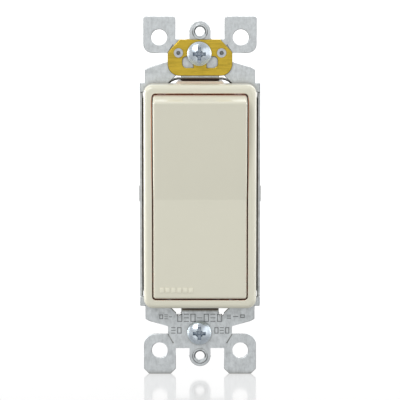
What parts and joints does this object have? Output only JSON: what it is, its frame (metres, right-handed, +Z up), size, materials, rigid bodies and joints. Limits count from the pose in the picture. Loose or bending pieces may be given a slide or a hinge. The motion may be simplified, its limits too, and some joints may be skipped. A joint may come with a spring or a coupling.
{
  "type": "rocker wall switch",
  "caption": "Decorator rocker (paddle) wall switch, three-way, with steel mounting strap, self-grounding clip, captive screws and side terminal screws.",
  "frame": {"origin": "midpoint of the two wall-plate screw holes, on the front face of the strap", "axes": "+Z up along the strap, +X to the right seen from the front, -Y out of the wall towards the user"},
  "size_m": [0.036, 0.0368, 0.1067],
  "materials": {
    "almond_plastic": "satin moulded thermoplastic, almond",
    "body_plastic": "matte charcoal thermoplastic",
    "galvanized_steel": "galvanized sheet steel, mottled",
    "clip_brass": "brass-plated spring steel, fine rolled grain",
    "rivet_steel": "zinc-plated eyelet",
    "screw_zinc": "clear zinc plate, bright",
    "fibre": "pressed fibre sheet",
    "nylon": "natural nylon",
    "spring_steel": "music wire",
    "contact_brass": "stamped brass strip",
    "contact_silver": "silver alloy contact button",
    "screw_black": "black oxide",
    "screw_brass": "brass plate",
    "screw_green": "green dyed zinc",
    "body_screw_steel": "plain zinc"
  },
  "bodies": {
    "housing": {"mounting_strap": "galvanized_steel", "grounding_clip": "clip_brass", "grounding_clip_rivets": "rivet_steel", "mounting_screws": "screw_zinc", "screw_retainers": "fibre", "cover_frame": "almond_plastic", "back_body": "body_plastic", "body_screws": "body_screw_steel", "arc_shield": "fibre", "fixed_contacts": "contact_silver", "arm_cradle": "contact_brass", "common_terminal": "contact_brass", "upper_traveler_terminal": "contact_brass", "lower_traveler_terminal": "contact_brass"},
    "rocker": {"rocker": "almond_plastic", "plunger_spring": "spring_steel"},
    "plunger": {"plunger": "nylon"},
    "contact_arm": {"contact_arm": "contact_brass", "moving_contacts": "contact_silver"},
    "common_screw": {"common_screw": "screw_black"},
    "upper_traveler_screw": {"upper_traveler_screw": "screw_brass"},
    "lower_traveler_screw": {"lower_traveler_screw": "screw_brass"},
    "ground_screw": {"ground_screw": "screw_green"}
  },
  "joints": [
    {"name": "rocker_tilt", "type": "hinge", "parent": "housing", "child": "rocker", "pos_m": [0, 0.0022, 0], "axis": [-1, 0, 0], "range_deg": [0, 8]},
    {"name": "plunger_slide", "type": "slide", "parent": "rocker", "child": "plunger", "axis": [0, -0.9976, -0.0698], "range_m": [0, 0.0004], "stiffness_N_per_m": 150, "springref_m": -0.002},
    {"name": "contact_arm_tilt", "type": "hinge", "parent": "housing", "child": "contact_arm", "pos_m": [0, 0.0137, 0], "axis": [-1, 0, 0], "range_deg": [-12, 0]},
    {"name": "common_screw_drive", "type": "slide", "parent": "housing", "child": "common_screw", "axis": [1, 0, 0], "range_m": [0, 0.0025]},
    {"name": "upper_traveler_screw_drive", "type": "slide", "parent": "housing", "child": "upper_traveler_screw", "axis": [-1, 0, 0], "range_m": [0, 0.0025]},
    {"name": "lower_traveler_screw_drive", "type": "slide", "parent": "housing", "child": "lower_traveler_screw", "axis": [-1, 0, 0], "range_m": [0, 0.0025]},
    {"name": "ground_screw_drive", "type": "slide", "parent": "housing", "child": "ground_screw", "axis": [1, 0, 0], "range_m": [0, 0.0025]}
  ],
  "couplings": [
    {"joint": "contact_arm_tilt", "follows": "rocker_tilt", "ratio": -1.5}
  ]
}
